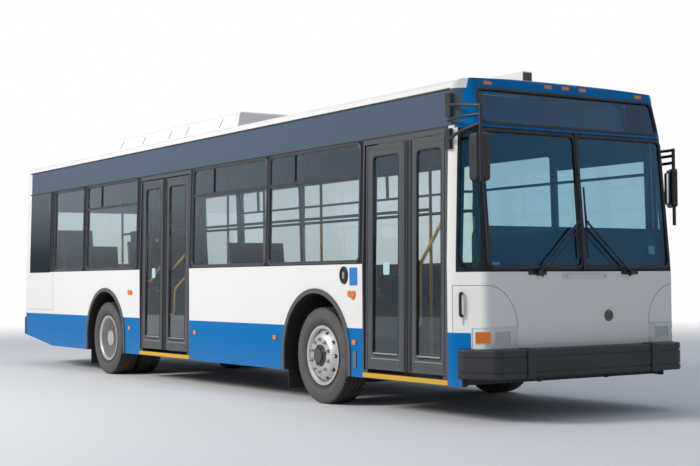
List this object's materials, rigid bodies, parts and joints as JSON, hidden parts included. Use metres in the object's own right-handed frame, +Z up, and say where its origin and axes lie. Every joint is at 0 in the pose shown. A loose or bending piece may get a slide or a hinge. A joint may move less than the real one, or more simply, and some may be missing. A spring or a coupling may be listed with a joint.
{
  "type": "city bus",
  "caption": "Low-floor city bus with swinging double doors on one side, steered front wheels, twin rear wheels, roof air unit and a furnished cabin.",
  "frame": {"origin": "on the ground, midway between the two bumpers and on the centre line", "axes": "+X forward, +Y to the bus's left, +Z up"},
  "size_m": [11.64, 2.7419, 3.292],
  "materials": {
    "floor_platform": "sheet flooring on a steel frame",
    "side_wall_right": "gloss paint",
    "side_wall_left": "gloss paint",
    "roof_shell": "gloss paint",
    "rear_wall": "gloss paint",
    "front_mask": "gloss paint",
    "windscreen_frame": "gloss paint",
    "front_cap": "gloss paint",
    "windscreen_glass": "tinted",
    "sign_unit": "moulded",
    "window_frames_right": "dark anodised",
    "window_frames_left": "dark anodised",
    "side_glass_right": "tinted",
    "side_glass_left": "tinted",
    "rear_glass": "tinted",
    "door_portal_front": "satin dark paint",
    "door_portal_rear": "satin dark paint",
    "front_bumper": "black",
    "rear_bumper": "black",
    "head_lamps": "moulded",
    "marker_lamps": "moulded",
    "roof_unit": "gloss paint",
    "wheel_housings_right": "black",
    "wheel_housings_left": "black",
    "mirror_right": "satin black",
    "mirror_left": "satin black",
    "driver_station": "grained",
    "driver_seat": "woven",
    "seats_right": "woven",
    "seats_left": "woven",
    "handrails": "yellow powder coat",
    "engine_block": "black chassis paint",
    "front_axle": "black chassis paint",
    "rear_axle": "black chassis paint",
    "air_springs": "black",
    "knuckle_right": "black chassis paint",
    "tyre_front_right": "black",
    "rim_front_right": "polished",
    "tyres_rear_right": "black",
    "rims_rear_right": "polished",
    "knuckle_left": "black chassis paint",
    "tyre_front_left": "black",
    "rim_front_left": "polished",
    "tyres_rear_left": "black",
    "rims_rear_left": "polished",
    "door_front_aft": "satin dark paint",
    "door_glass_front_aft": "tinted",
    "door_front_fore": "satin dark paint",
    "door_glass_front_fore": "tinted",
    "door_rear_aft": "satin dark paint",
    "door_glass_rear_aft": "tinted",
    "door_rear_fore": "satin dark paint",
    "door_glass_rear_fore": "tinted",
    "engine_door": "gloss paint",
    "wiper_arm_right": "satin black",
    "wiper_blade_right": "black",
    "wiper_arm_left": "satin black",
    "wiper_blade_left": "black"
  },
  "bodies": {
    "coach": {"floor_platform": "floor_platform", "side_wall_right": "side_wall_right", "side_wall_left": "side_wall_left", "roof_shell": "roof_shell", "rear_wall": "rear_wall", "front_mask": "front_mask", "windscreen_frame": "windscreen_frame", "front_cap": "front_cap", "windscreen_glass": "windscreen_glass", "sign_unit": "sign_unit", "window_frames_right": "window_frames_right", "window_frames_left": "window_frames_left", "side_glass_right": "side_glass_right", "side_glass_left": "side_glass_left", "rear_glass": "rear_glass", "door_portal_front": "door_portal_front", "door_portal_rear": "door_portal_rear", "front_bumper": "front_bumper", "rear_bumper": "rear_bumper", "head_lamps": "head_lamps", "marker_lamps": "marker_lamps", "roof_unit": "roof_unit", "wheel_housings_right": "wheel_housings_right", "wheel_housings_left": "wheel_housings_left", "mirror_right": "mirror_right", "mirror_left": "mirror_left", "driver_station": "driver_station", "driver_seat": "driver_seat", "seats_right": "seats_right", "seats_left": "seats_left", "handrails": "handrails", "engine_block": "engine_block", "front_axle": "front_axle", "rear_axle": "rear_axle", "air_springs": "air_springs"},
    "knuckle_right": {"knuckle_right": "knuckle_right"},
    "wheel_front_right": {"tyre_front_right": "tyre_front_right", "rim_front_right": "rim_front_right"},
    "wheels_rear_right": {"tyres_rear_right": "tyres_rear_right", "rims_rear_right": "rims_rear_right"},
    "knuckle_left": {"knuckle_left": "knuckle_left"},
    "wheel_front_left": {"tyre_front_left": "tyre_front_left", "rim_front_left": "rim_front_left"},
    "wheels_rear_left": {"tyres_rear_left": "tyres_rear_left", "rims_rear_left": "rims_rear_left"},
    "leaf_front_aft": {"door_front_aft": "door_front_aft", "door_glass_front_aft": "door_glass_front_aft"},
    "leaf_front_fore": {"door_front_fore": "door_front_fore", "door_glass_front_fore": "door_glass_front_fore"},
    "leaf_rear_aft": {"door_rear_aft": "door_rear_aft", "door_glass_rear_aft": "door_glass_rear_aft"},
    "leaf_rear_fore": {"door_rear_fore": "door_rear_fore", "door_glass_rear_fore": "door_glass_rear_fore"},
    "engine_lid": {"engine_door": "engine_door"},
    "wiper_arm_right": {"wiper_arm_right": "wiper_arm_right"},
    "wiper_blade_right": {"wiper_blade_right": "wiper_blade_right"},
    "wiper_arm_left": {"wiper_arm_left": "wiper_arm_left"},
    "wiper_blade_left": {"wiper_blade_left": "wiper_blade_left"}
  },
  "joints": [
    {"name": "steer_right", "type": "hinge", "parent": "coach", "child": "knuckle_right", "pos_m": [3.07, -0.985, 0.498], "axis": [0, 0, 1], "range_deg": [-40, 40]},
    {"name": "spin_front_right", "type": "hinge", "parent": "knuckle_right", "child": "wheel_front_right", "pos_m": [3.07, -1.0975, 0.498], "axis": [0, 1, 0], "continuous": true},
    {"name": "spin_rear_right", "type": "hinge", "parent": "coach", "child": "wheels_rear_right", "pos_m": [-2.54, -0.925, 0.498], "axis": [0, 1, 0], "continuous": true},
    {"name": "steer_left", "type": "hinge", "parent": "coach", "child": "knuckle_left", "pos_m": [3.07, 0.985, 0.498], "axis": [0, 0, 1], "range_deg": [-40, 40]},
    {"name": "spin_front_left", "type": "hinge", "parent": "knuckle_left", "child": "wheel_front_left", "pos_m": [3.07, 1.0975, 0.498], "axis": [0, 1, 0], "continuous": true},
    {"name": "spin_rear_left", "type": "hinge", "parent": "coach", "child": "wheels_rear_left", "pos_m": [-2.54, 0.925, 0.498], "axis": [0, 1, 0], "continuous": true},
    {"name": "swing_front_aft", "type": "hinge", "parent": "coach", "child": "leaf_front_aft", "pos_m": [3.963, -1.272, 0.412], "axis": [0, -0.014, -0.9999], "range_deg": [0, 90]},
    {"name": "swing_front_fore", "type": "hinge", "parent": "coach", "child": "leaf_front_fore", "pos_m": [5.244, -1.272, 0.412], "axis": [0, 0.014, 0.9999], "range_deg": [0, 90]},
    {"name": "swing_rear_aft", "type": "hinge", "parent": "coach", "child": "leaf_rear_aft", "pos_m": [-1.298, -1.272, 0.412], "axis": [0, -0.014, -0.9999], "range_deg": [0, 90]},
    {"name": "swing_rear_fore", "type": "hinge", "parent": "coach", "child": "leaf_rear_fore", "pos_m": [0.078, -1.272, 0.412], "axis": [0, 0.014, 0.9999], "range_deg": [0, 90]},
    {"name": "lift_engine_lid", "type": "hinge", "parent": "coach", "child": "engine_lid", "pos_m": [-5.773, 0, 1.219], "axis": [0, 1, 0], "range_deg": [0, 75]},
    {"name": "sweep_right", "type": "hinge", "parent": "coach", "child": "wiper_arm_right", "pos_m": [5.67995, -0.575, 1.325], "axis": [0.9967, 0, 0.0817], "range_deg": [0, 62]},
    {"name": "level_right", "type": "hinge", "parent": "wiper_arm_right", "child": "wiper_blade_right", "pos_m": [5.64167, -0.0548, 1.79183], "axis": [0.9967, 0, 0.0817], "range_deg": [-62, 0]},
    {"name": "sweep_left", "type": "hinge", "parent": "coach", "child": "wiper_arm_left", "pos_m": [5.67995, 0.575, 1.325], "axis": [0.9967, 0, 0.0817], "range_deg": [-62, 0]},
    {"name": "level_left", "type": "hinge", "parent": "wiper_arm_left", "child": "wiper_blade_left", "pos_m": [5.64167, 0.0548, 1.79183], "axis": [0.9967, 0, 0.0817], "range_deg": [0, 62]}
  ],
  "couplings": [
    {"joint": "steer_left", "follows": "steer_right", "ratio": 1},
    {"joint": "swing_front_fore", "follows": "swing_front_aft", "ratio": 1},
    {"joint": "swing_rear_fore", "follows": "swing_rear_aft", "ratio": 1},
    {"joint": "level_right", "follows": "sweep_right", "ratio": -1},
    {"joint": "level_left", "follows": "sweep_left", "ratio": -1}
  ]
}
